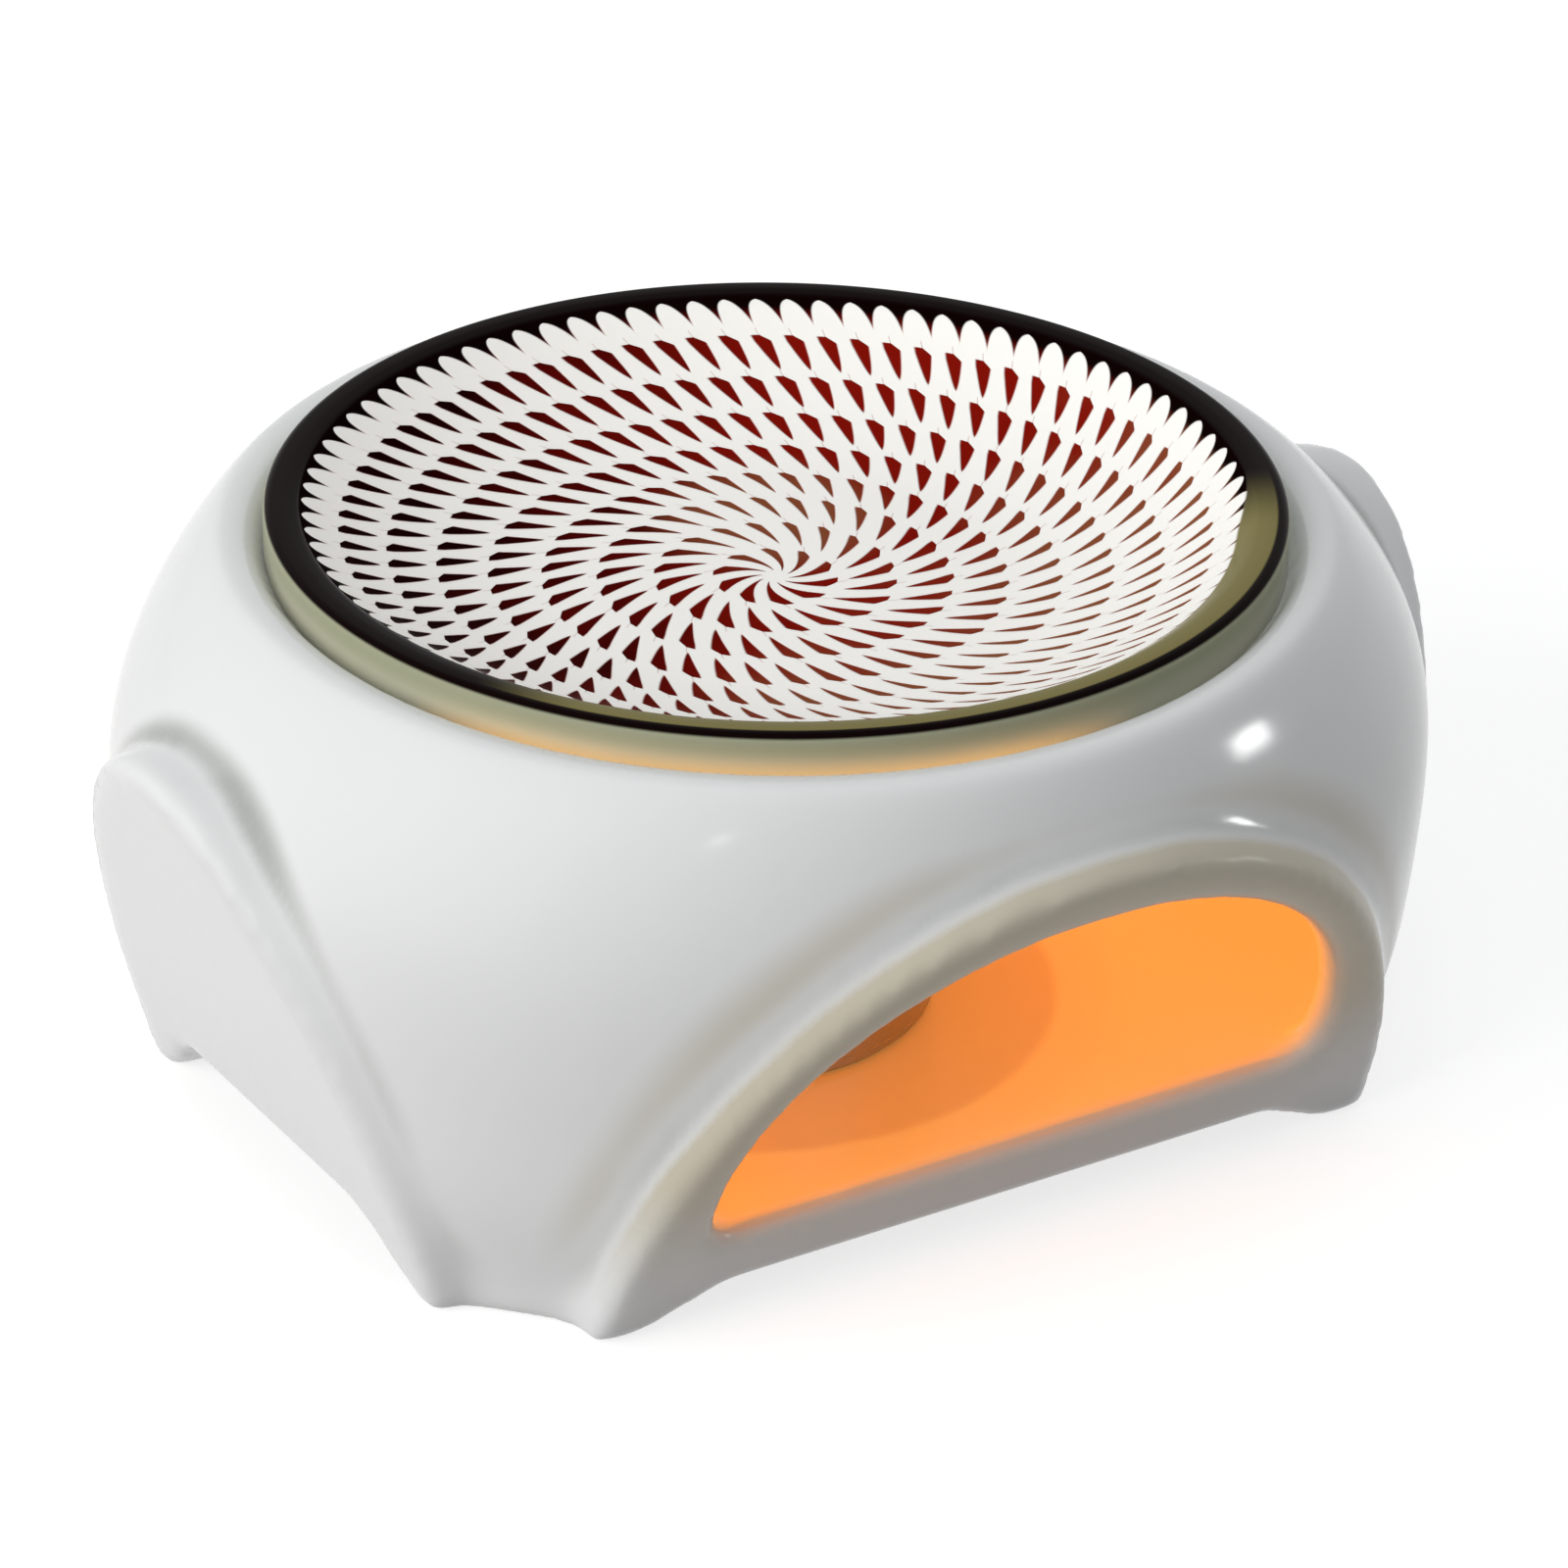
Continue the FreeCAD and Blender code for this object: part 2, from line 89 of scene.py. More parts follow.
class WarmerSizes(bpy.types.PropertyGroup):
    """Sizes of the visible pieces."""
    glaze_grid: length("Glaze grid", 0.78, "Grid on which the body's glazed skin is laid")
    glaze_flow: IntProperty(name="Glaze flow", description="How often the glaze is levelled over the edges",
                            default=5, min=0, max=40)
    arch_flow: IntProperty(name="Arch flow", description="How often it is levelled again below the shoulder",
                           default=14, min=0, max=80)
    # Painted shade: this flow finds the hollow lines that take the painted grey crease shade
    crease_flow: IntProperty(name="Pool flow", description="How far around a hollow line the glaze pools",
                           default=90, min=1, max=400)
    turning_sides: IntProperty(name="Turning sides", description="Sides of a turned piece",
                               default=192, min=24, max=512)
    dish_wall: length("Dish wall", 2.0, "Thickness of the bowl in its middle")
    bowl_flat: length("Bowl floor", 19.0, "Radius of the flat floor of the dish's bowl")
    bowl_step: length("Bowl step", 1.0, "How far the bowl's underside lies below the foot ring at its edge")
    rim_height: length("Rim height", 4.8, "Height of the dish's rim above its foot ring")
    rim_width: length("Rim width", 2.8, "Width of the dish's rim")
    rim_round: length("Rim rounding", 0.9, "Rounding of the rim's outer edge")
    foot_width: length("Foot ring", 9.0, "Width of the flat ring under the dish")
    first_ring: length("First ring", 1.0, "Radius at which the innermost ring of marks begins")
    ring_pitch: length("Ring pitch", 5.43, "Distance from the first ring of marks to the next")
    pitch_fall: number("Pitch fall", 0.031, "Share by which the distance falls from ring to ring")
    first_marks: number("First marks", 10.0, "Number of marks in the innermost ring")
    more_marks: number("More marks", 9.85, "How many more marks each next ring has")
    cup_sheet: length("Cup sheet", 0.4, "Thickness of the tealight cup's aluminium")
    cup_bead: length("Cup bead", 0.5, "Radius of the cup's curled edge")
    cup_draft: length("Cup draft", 0.6, "How much narrower the cup is at its floor")
    pool_depth: length("Pool depth", 0.6, "How far the molten wax lies below its edge")
    ferrule_radius: length("Ferrule radius", 1.3, "Radius of the ferrule on the wick's tab")
    tab_sheet: length("Tab sheet", 0.3, "Thickness of the wick's tab")
    flame_height: length("Flame height", 10.0, "Height of the candle flame")
    flame_radius: length("Flame radius", 2.3, "Radius of the flame where it is widest")


class WarmerColours(bpy.types.PropertyGroup):
    """Colours of the finishes and of the light."""
    porcelain: colour("Porcelain", "#F0F1F1", "White porcelain under a clear glaze")
    # Painted shade: a grey tint laid into the hollow lines, where shade falls
    pool: colour("Pooled glaze", "#8C9088", "Clear glaze where it pools in a hollow line")
    # Painted shade: the open arches' faces darkened to a warm taupe
    painted_face_shade: colour("Warm face", "#CCC3AB", "The open arches' faces beside the candlelight")
    # Painted candlelight: an orange tint on the hollow's walls
    painted_candlelight: colour("Toasted hollow", "#F8C27C", "The hollow's glaze, which the candle has toasted")
    slip: colour("Slip", "#FCFCF8", "White slip between the dish's marks")
    mark: colour("Marks", "#8A140A", "Iron-red glaze in the marks")
    deep_mark: colour("Deep marks", "#1C0203", "The same glaze where it lies thick")
    worn_mark: colour("Thin marks", "#93583A", "The same glaze where it lies thin")
    mark_edge: colour("Mark edges", "#C03C24", "The same glaze where it feathers out at a mark's edge")
    rim: colour("Rim", "#100404", "Iron-black glaze on the dish's rim")
    # Partly the rim glaze's own olive, partly painted warm light from below on the rim's front
    olive: colour("Olive rim", "#8A8150", "The rim's glaze where it breaks to olive")
    foil: colour("Foil", "#B0A89C", "Aluminium of the tealight cup")
    tin: colour("Tin", "#B9BBBE", "Tinned steel of the wick's tab")
    wax: colour("Wax", "#F3EAD6", "Paraffin wax")
    cotton: colour("Cotton", "#D9CDB4", "Cotton of the wick")
    char: colour("Char", "#15100D", "Burnt tip of the wick")
    # Painted candlelight: the emission colour of the hollow's walls and the lip's edge
    glow: colour("Glow", "#FFB24E", "Candlelight on porcelain")
    flame: colour("Flame", "#FFC46A", "Candle flame")
    floor: colour("Floor", "#B4B4B4", "Studio floor")


def sizes():
    return bpy.context.scene.warmer_sizes


def tint(name):
    """A colour setting as RGBA."""
    return tuple(getattr(bpy.context.scene.warmer_colours, name)) + (1.0,)


# Modelling

def pick(piece):
    """Make a piece the active object and the only one selected; None selects nothing."""
    bpy.ops.object.select_all(action="DESELECT")
    if piece:
        piece.select_set(True)
        bpy.context.view_layer.objects.active = piece


def apply_modifier(piece, kind, **settings):
    """Add a modifier with its settings and apply it."""
    pick(piece)
    modifier = piece.modifiers.new(kind.title(), kind)
    for key, value in settings.items():
        setattr(modifier, key, value)
    bpy.ops.object.modifier_apply(modifier=modifier.name)


def positions(mesh):
    """The places of a mesh's vertices as rows of X, Y and Z."""
    flat = np.empty(3 * len(mesh.vertices), np.float32)
    mesh.vertices.foreach_get("co", flat)
    return flat.reshape(-1, 3)


def note_creases(piece, flow):
    """Store how far each spot lies in a hollow line, in metres, as the attribute glaze_pool. A levelled
    copy rises out of the hollows, and the rise is what is stored."""
    levelled = piece.copy()
    levelled.data = piece.data.copy()
    bpy.context.scene.collection.objects.link(levelled)
    apply_modifier(levelled, "SMOOTH", factor=0.5, iterations=flow)
    outward = np.empty(3 * len(piece.data.vertices), np.float32)
    piece.data.vertex_normals.foreach_get("vector", outward)
    rise = ((positions(levelled.data) - positions(piece.data)) * outward.reshape(-1, 3)).sum(axis=1)
    spare = levelled.data
    bpy.data.objects.remove(levelled)
    bpy.data.meshes.remove(spare)
    pool = piece.data.attributes.new("glaze_pool", "FLOAT", "POINT")
    pool.data.foreach_set("value", rise)


def turned(name, rings, middle=(0.0, 0.0)):
    """A turned piece, extruded ring by ring. Each ring is (radius, level), the first is a closed disc and
    a radius of 0 at the end closes the piece in a pole."""
    pick(None)
    radius, level = rings[0]
    bpy.ops.mesh.primitive_circle_add(vertices=sizes().turning_sides, radius=radius, fill_type="NGON",
                                      location=(middle[0], middle[1], level))
    piece = bpy.context.object
    bpy.ops.object.transform_apply(location=True, rotation=True, scale=True)
    bpy.ops.object.mode_set(mode="EDIT")
    bpy.ops.mesh.select_all(action="SELECT")
    for next_radius, next_level in rings[1:]:
        rise = next_level - level
        bpy.ops.mesh.extrude_region_move(TRANSFORM_OT_translate={"value": (0, 0, rise)})
        if next_radius == 0:
            bpy.ops.mesh.merge(type="CENTER")
            break
        ratio = next_radius / radius
        bpy.ops.transform.resize(value=(ratio, ratio, 1), center_override=(middle[0], middle[1], next_level))
        radius, level = next_radius, next_level
    bpy.ops.mesh.select_all(action="SELECT")
    bpy.ops.mesh.normals_make_consistent(inside=False)
    bpy.ops.object.mode_set(mode="OBJECT")
    piece.name = name
    piece.data.name = name
    return piece


def arc(middle, radius, first, last, steps):
    """Rings along an arc of a profile, its angles in degrees from the outward direction."""
    turns = [math.radians(first + (last - first) * step / steps) for step in range(steps + 1)]
    return [(middle[0] + radius * math.cos(turn), middle[1] + radius * math.sin(turn)) for turn in turns]


def finish_piece(piece, material, body, node, smooth=35):
    """Shade and paint a piece, hang it on the empty of the body it rides on, and hide the CAD part it stands
    for, if any.
    """
    pick(piece)
    bpy.ops.object.shade_smooth_by_angle(angle=math.radians(smooth))
    piece.data.materials.clear()
    piece.data.materials.append(material)
    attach(piece, body)
    if node:
        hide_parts(node)


# Materials

def new_material(name):
    """An empty node material and its tree."""
    material = bpy.data.materials.new(name)
    material.use_nodes = True
    material.node_tree.nodes.clear()
    return material, material.node_tree


def node(tree, kind, settings=None, inputs=None):
    """Add a node with its settings; each input is set to a value or linked to a socket."""
    made = tree.nodes.new(kind)
    for key, value in (settings or {}).items():
        setattr(made, key, value)
    for key, value in (inputs or {}).items():
        if isinstance(value, bpy.types.NodeSocket):
            tree.links.new(value, made.inputs[key])
        else:
            made.inputs[key].default_value = value
    return made


def calculate(tree, operation, *values, clamp=False):
    """One step of arithmetic on numbers or sockets."""
    settings = {"operation": operation, "use_clamp": clamp}
    return node(tree, "ShaderNodeMath", settings, dict(enumerate(values))).outputs[0]


def fade(tree, value, low, high):
    """0 up to low and 1 from high on, smooth between them; low may be the greater."""
    return node(tree, "ShaderNodeMapRange", {"interpolation_type": "SMOOTHSTEP"},
                {"Value": value, "From Min": low, "From Max": high}).outputs["Result"]


def mix(tree, factor, first, second):
    """Two colours mixed by a factor."""
    return node(tree, "ShaderNodeMix", {"data_type": "RGBA"},
                {"Factor": factor, 6: first, 7: second}).outputs[2]


def product(tree, first, *others):
    """Numbers or sockets multiplied in their order."""
    for other in others:
        first = calculate(tree, "MULTIPLY", first, other)
    return first


def vector_step(tree, operation, *values, output="Value"):
    """One step of arithmetic on vectors, which gives a number or, with the output Vector, a vector."""
    settings = {"operation": operation}
    return node(tree, "ShaderNodeVectorMath", settings, dict(enumerate(values))).outputs[output]


def place(tree):
    """The Object coordinates of a spot."""
    return node(tree, "ShaderNodeTexCoord").outputs["Object"]


def axes(tree, vector):
    """The X, Y and Z of a vector."""
    parts = node(tree, "ShaderNodeSeparateXYZ", None, {"Vector": vector}).outputs
    return parts["X"], parts["Y"], parts["Z"]


def toward(tree, x, y, direction, extra=0.0):
    """How far a spot lies in a flat direction, with an extra distance added."""
    return calculate(tree, "MULTIPLY_ADD", x, direction[0],
                     calculate(tree, "MULTIPLY_ADD", y, direction[1], extra))


def white_to_the_eye(tree, strength, rest=0.0):
    """A strength for rays from the camera, mirrored rays and rays through glass, and another for the rest."""
    path = node(tree, "ShaderNodeLightPath").outputs
    seen = calculate(tree, "MAXIMUM", path["Is Camera Ray"],
                     calculate(tree, "MAXIMUM", path["Is Glossy Ray"], path["Is Transmission Ray"]))
    return calculate(tree, "MULTIPLY_ADD", seen, strength - rest, rest)


def noise(tree, vector, grain, detail=2.0):
    """Noise with grains of a real size in metres."""
    return node(tree, "ShaderNodeTexNoise", None,
                {"Vector": vector, "Scale": 1 / grain, "Detail": detail}).outputs["Fac"]


def bumps(tree, height, depth):
    """A bump of a real depth in metres."""
    return node(tree, "ShaderNodeBump", None, {"Height": height, "Distance": depth}).outputs["Normal"]


def surface(tree, **inputs):
    """A Principled surface as the material's output."""
    shader = node(tree, "ShaderNodeBsdfPrincipled", None,
                  {key.replace("_", " "): value for key, value in inputs.items()})
    node(tree, "ShaderNodeOutputMaterial", None, {"Surface": shader.outputs[0]})
    return shader


def porcelain_material():
    """White porcelain under a clear glaze, with painted candlelight glowing from the hollow's walls and
    painted shade in its hollow lines and on the open arches' faces.
    """
    material, tree = new_material("glazed_porcelain")
    vector = place(tree)
    x, y, z = axes(tree, vector)
    candle_floor = CUP_LOW.z
    ledge = DISH_HIGH.z - sizes().rim_height
    lip_edge = DISH_HIGH.x + 1.1 * MM
    # Painted candlelight: the hollow's walls glow by emission; they are the ones that face the middle of the
    # hollow
    heart = (0.0, 0.0, (BODY_LOW.z + BODY_HIGH.z) / 2)
    away = vector_step(tree, "SUBTRACT", vector, heart, output="Vector")
    outward = vector_step(tree, "NORMALIZE", away, output="Vector")
    facing = node(tree, "ShaderNodeTexCoord").outputs["Normal"]
    turned_out = vector_step(tree, "DOT_PRODUCT", outward, facing)
    above_floor = fade(tree, z, candle_floor - 1.0 * MM, candle_floor - 0.2 * MM)
    below_ledge = fade(tree, z, ledge - 0.7 * MM, ledge - 1.7 * MM)
    # The open faces lean out as they rise, so a spot's distance from the middle is led back to the ground
    face_lean = 0.4169
    hollow_reach = 37.0 * MM
    leaned_back = calculate(tree, "SUBTRACT", calculate(tree, "ABSOLUTE", y), product(tree, z, face_lean))
    behind_face = fade(tree, leaned_back, hollow_reach, hollow_reach - 3.0 * MM)
    inside = product(tree, fade(tree, turned_out, -0.02, -0.2), above_floor, below_ledge, behind_face)
    # Painted candlelight: a glow on the lip's inner edge at the front left, where light leaks up round the
    # dish
    flat = node(tree, "ShaderNodeCombineXYZ", None, {"X": x, "Y": y}).outputs[0]
    radius = vector_step(tree, "LENGTH", flat)
    front_left = (-0.532, -0.847)
    turned_front = calculate(tree, "DIVIDE", toward(tree, x, y, front_left), radius)
    leak = product(tree, fade(tree, turned_front, 0.72, 0.92),
                   fade(tree, radius, lip_edge + 0.5 * MM, lip_edge),
                   fade(tree, z, ledge - 0.6 * MM, ledge - 0.2 * MM))
    # Painted shadow: on the candle floor the painted glow is weaker in a circle round the cup
    shadow_edge = 29.8 * MM
    from_cup = vector_step(tree, "DISTANCE", vector, (CANDLE_MIDDLE.x, CANDLE_MIDDLE.y, candle_floor))
    shadow = product(tree, fade(tree, from_cup, shadow_edge, shadow_edge - 1.6 * MM),
                     fade(tree, z, candle_floor + 1.5 * MM, candle_floor + 0.3 * MM))
    glow = product(tree, inside, calculate(tree, "MULTIPLY_ADD", shadow, -0.16, 0.31))
    glow_strength = calculate(tree, "MULTIPLY_ADD", leak, 0.8, glow)
    # Painted shade: the outer wall's hollow lines are tinted grey, more where they are deeper
    pool = node(tree, "ShaderNodeAttribute", {"attribute_name": "glaze_pool"}).outputs["Fac"]
    outside = calculate(tree, "SUBTRACT", 1.0, inside)
    below_mouth = fade(tree, z, BODY_HIGH.z - 4.4 * MM, BODY_HIGH.z - 8.4 * MM)
    outer_wall = product(tree, below_mouth, outside)
    painted_crease_shade = product(tree, fade(tree, pool, 0.02 * MM, 0.42 * MM), 0.85,
                     fade(tree, z, 2.0 * MM, 16.0 * MM), outer_wall)
    cloud = noise(tree, vector, 30 * MM)
    white = mix(tree, product(tree, cloud, 0.25), tint("porcelain"), linear("#E8ECEE"))
    # Painted shade: the open arches' faces are darkened to a warm taupe; painted candlelight tints the hollow
    # orange
    raised = product(tree, fade(tree, pool, 0.16 * MM, -0.14 * MM),
                     fade(tree, leaned_back, hollow_reach - 8.0 * MM, hollow_reach - 4.0 * MM))
    face = product(tree, raised, fade(tree, z, 3.0 * MM, 20.0 * MM), outer_wall)
    # The painted grey crease shade is mixed over the white porcelain
    glazed = mix(tree, painted_crease_shade, white, tint("pool"))
    face_shaded = mix(tree, product(tree, face, 0.85), glazed, tint("painted_face_shade"))
    ripple = noise(tree, vector, 9 * MM, 1.0)
    surface(tree,
            Base_Color=mix(tree, product(tree, inside, 0.85), face_shaded, tint("painted_candlelight")),
            Roughness=calculate(tree, "MULTIPLY_ADD", face, 0.2, 0.14), IOR=1.5, Specular_IOR_Level=0.35,
            Emission_Color=tint("glow"), Emission_Strength=glow_strength,
            Normal=bumps(tree, ripple, 0.05 * MM))
    return material


def dish_material():
    """White slip with rings of iron-red chatter marks, under a clear glaze, and a dark iron rim."""
    size = sizes()
    material, tree = new_material("chattered_iron_and_slip_glaze")
    vector = place(tree)
    x, y, z = axes(tree, vector)
    dish_edge = DISH_HIGH.x
    dish_top = DISH_HIGH.z
    radius = calculate(tree, "SQRT", calculate(tree, "ADD", calculate(tree, "POWER", x, 2.0),
                                               calculate(tree, "POWER", y, 2.0)))
    angle = calculate(tree, "ARCTAN2", y, x)
    # Which ring a spot is in, how far out in that ring, and how many marks that ring has
    steady = calculate(tree, "DIVIDE", calculate(tree, "SUBTRACT", radius, size.first_ring), size.ring_pitch)
    fall = size.pitch_fall / 2
    root = calculate(tree, "SQRT", calculate(tree, "MULTIPLY_ADD", steady, -4 * fall, 1.0))
    out = calculate(tree, "DIVIDE", calculate(tree, "SUBTRACT", 1.0, root), 2 * fall)
    ring = calculate(tree, "FLOOR", out)
    across = calculate(tree, "FRACT", out)
    count = calculate(tree, "ROUND", calculate(tree, "MULTIPLY_ADD", ring, size.more_marks, size.first_marks))
    # The marks lean: the angle is turned back as the radius grows, by more near the middle
    lean_share = 0.58
    log_radius = calculate(tree, "LOGARITHM", calculate(tree, "ADD", radius, 1.0 * MM), math.e)
    lean = product(tree, log_radius, lean_share)
    turned_angle = calculate(tree, "DIVIDE", calculate(tree, "SUBTRACT", angle, lean), 2 * math.pi)
    ring_shift = product(tree, ring, 0.37)
    turns = calculate(tree, "MULTIPLY_ADD", turned_angle, count, ring_shift)
    side = calculate(tree, "SUBTRACT", calculate(tree, "FRACT", turns), 0.5)
    off_middle = calculate(tree, "ABSOLUTE", side)
    # The marks' glaze is thick at the left, and thin towards the front and in a patch near the middle
    patch = product(tree, calculate(tree, "SUBTRACT", noise(tree, vector, 14 * MM), 0.5), 0.03)
    leftward = toward(tree, x, y, (-0.85, 0.5), patch)
    rearward = toward(tree, x, y, (-0.35, 0.8), patch)
    thick = fade(tree, leftward, -6 * MM, 30 * MM)
    from_patch = vector_step(tree, "DISTANCE", vector, (6 * MM, 10 * MM, DISH_LOW.z))
    thin = calculate(tree, "MAXIMUM", fade(tree, rearward, -3 * MM, -24 * MM),
                     product(tree, fade(tree, from_patch, 13 * MM, 6 * MM), 0.8))
    # A mark is pointed inwards and blunt outwards; its places are shares of the ring's width
    mark_start, mark_length, mark_end = 0.02, 0.68, 0.86
    widest_half = 0.27
    past_start = calculate(tree, "SUBTRACT", across, mark_start)
    pointed = calculate(tree, "DIVIDE", past_start, mark_length, clamp=True)
    taper = product(tree, calculate(tree, "POWER", pointed, 0.6), widest_half)
    blunt = fade(tree, calculate(tree, "MULTIPLY_ADD", side, -0.25, across), mark_end, mark_end - 0.1)
    mark_half = product(tree, taper, blunt, calculate(tree, "MULTIPLY_ADD", thin, -0.4, 1.0))
    # In the last ring the dark runs together round white fingers with round tips
    finger_start, finger_length = 0.08, 0.56
    past_root = calculate(tree, "SUBTRACT", across, finger_start)
    tip = calculate(tree, "DIVIDE", past_root, finger_length, clamp=True)
    rounded = calculate(tree, "SQRT", calculate(tree, "SUBTRACT", 1.0, calculate(tree, "POWER", tip, 5.0)))
    finger = product(tree, calculate(tree, "MULTIPLY_ADD", tip, -0.38, 1.0), rounded)
    wedge_half = calculate(tree, "MULTIPLY_ADD", finger, -0.6, 0.58)
    last_ring = calculate(tree, "GREATER_THAN", ring, 7.5)
    half = node(tree, "ShaderNodeMix", {"data_type": "FLOAT"},
                {"Factor": last_ring, 2: mark_half, 3: wedge_half}).outputs[0]
    inked = fade(tree, calculate(tree, "SUBTRACT", half, off_middle), -0.035, 0.045)
    forward = calculate(tree, "DIVIDE", product(tree, y, -1.0), radius)
    olive_side = fade(tree, forward, 0.38, 0.62)
    # The rim's glaze starts just inside the rim, and a little further in where it is olive
    glaze_start = dish_edge - size.rim_width - 0.5 * MM
    rim_start = calculate(tree, "MULTIPLY_ADD", olive_side, -1.5 * MM, glaze_start)
    on_rim = fade(tree, calculate(tree, "SUBTRACT", radius, rim_start), 0.0, 0.3 * MM)
    marked = product(tree, inked, fade(tree, radius, size.first_ring, size.first_ring + 0.3 * MM))
    ink = mix(tree, thin, mix(tree, thick, tint("mark"), tint("deep_mark")), tint("worn_mark"))
    feathered = mix(tree, fade(tree, inked, 0.95, 0.45), ink, tint("mark_edge"))
    # Between the fingers the red darkens into the rim's black
    between = product(tree, last_ring, fade(tree, across, 0.1, 0.5))
    bowl = mix(tree, marked, tint("slip"), mix(tree, between, feathered, tint("rim")))
    # The rim is iron-black and olive over its front third: partly the glaze breaking to olive, partly painted
    # warm light from below
    olive = product(tree, olive_side, fade(tree, radius, dish_edge - 1.0 * MM, dish_edge - 1.3 * MM))
    painted = mix(tree, on_rim, bowl, mix(tree, olive, tint("rim"), tint("olive")))
    # The wall under the rim and the underside are clear-glazed; their grey-olive, darker towards the rim, is
    # painted shade and reflection
    outer = product(tree, fade(tree, z, dish_top - 0.25 * MM, dish_top - 0.5 * MM),
                    fade(tree, radius, dish_edge - 1.5 * MM, dish_edge - 1.1 * MM))
    wall_rise = fade(tree, z, dish_top - 4.0 * MM, dish_top - 1.0 * MM)
    shade = mix(tree, wall_rise, linear("#C9C8B4"), linear("#A6A88E"))
    walled = mix(tree, outer, painted, shade)
    # Painted candlelight: the thin white slip glows a little, as if lit through from below
    through = product(tree, calculate(tree, "SUBTRACT", 1.0, marked),
                      calculate(tree, "SUBTRACT", 1.0, on_rim))
    # The marks are cut into the clay, and the rim's glaze covers them; its gloss is the stronger one
    carved = product(tree, marked, calculate(tree, "SUBTRACT", on_rim, 1.0))
    gloss = calculate(tree, "MULTIPLY_ADD", calculate(tree, "MAXIMUM", on_rim, outer), 0.4, 1.06)
    surface(tree, Base_Color=walled, Roughness=0.1, Specular_IOR_Level=0.02, IOR=gloss,
            Emission_Color=linear("#FFF6EC"), Emission_Strength=product(tree, through, 0.16),
            Normal=bumps(tree, carved, 0.1 * MM))
    return material


def foil_material():
    """Thin drawn aluminium: bright metal with fine draw lines round the cup."""
    material, tree = new_material("drawn_aluminium")
    z = axes(tree, place(tree))[2]
    lines = noise(tree, node(tree, "ShaderNodeCombineXYZ", None, {"Z": z}).outputs[0], 0.3 * MM)
    dull = calculate(tree, "MULTIPLY_ADD", lines, 0.2, 0.2)
    surface(tree, Base_Color=tint("foil"), Metallic=1.0, Roughness=dull, Normal=bumps(tree, lines, 0.02 * MM))
    return material


def wax_material():
    """Paraffin wax: cream white and waxy, lit through by the flame above it."""
    material, tree = new_material("paraffin_wax")
    cloud = noise(tree, place(tree), 5 * MM)
    surface(tree, Base_Color=mix(tree, cloud, tint("wax"), linear("#FFF6E4")), Roughness=0.3,
            Subsurface_Weight=0.4, Subsurface_Radius=(6 * MM, 4 * MM, 2 * MM), Subsurface_Scale=1.0,
            Normal=bumps(tree, cloud, 0.05 * MM))
    return material


def tin_material():
    """Tinned steel: dull bright metal of the wick's tab."""
    material, tree = new_material("tinned_steel")
    spangle = noise(tree, place(tree), 1.5 * MM)
    surface(tree, Base_Color=tint("tin"), Metallic=1.0,
            Roughness=calculate(tree, "MULTIPLY_ADD", spangle, 0.25, 0.25))
    return material


def cotton_material():
    """Braided cotton, burnt black at its tip."""
    material, tree = new_material("braided_cotton")
    x, y, z = axes(tree, place(tree))
    turn = calculate(tree, "ARCTAN2", calculate(tree, "SUBTRACT", y, CANDLE_MIDDLE.y),
                     calculate(tree, "SUBTRACT", x, CANDLE_MIDDLE.x))
    # Two strands wind round the wick, a pitch apart
    pitch = 1.2 * MM
    strands = calculate(tree, "SINE", calculate(tree, "MULTIPLY_ADD", z, 2 * math.pi / pitch,
                                                product(tree, turn, 2.0)))
    burnt = fade(tree, z, WAX_HIGH.z + 0.8 * MM, WAX_HIGH.z + 2.0 * MM)
    surface(tree, Base_Color=mix(tree, burnt, tint("cotton"), tint("char")), Roughness=0.9,
            Normal=bumps(tree, strands, 0.1 * MM))
    return material


def flame_material():
    """Candle flame: light yellow, whiter in its middle and bluish at its foot."""
    material, tree = new_material("candle_flame")
    z = axes(tree, place(tree))[2]
    foot = fade(tree, z, WICK_HIGH.z + 1.0 * MM, WICK_HIGH.z - 1.5 * MM)
    glow = node(tree, "ShaderNodeEmission", None,
                {"Color": mix(tree, foot, tint("flame"), linear("#6F8CFF")), "Strength": 2.5})
    node(tree, "ShaderNodeOutputMaterial", None, {"Surface": glow.outputs[0]})
    return material


def floor_material():
    """Seamless white paper that shows white where no shadow lies on it."""
    material, tree = new_material("white_paper")
    paper = node(tree, "ShaderNodeBsdfDiffuse", None, {"Color": tint("floor"), "Roughness": 0.5})
    white = node(tree, "ShaderNodeEmission", None,
                 {"Color": (1.0, 1.0, 1.0, 1.0), "Strength": white_to_the_eye(tree, 0.75)})
    both = node(tree, "ShaderNodeAddShader", None, {0: paper.outputs[0], 1: white.outputs[0]})
    node(tree, "ShaderNodeOutputMaterial", None, {"Surface": both.outputs[0]})
    return material


# Operators, one for each piece or group of like pieces

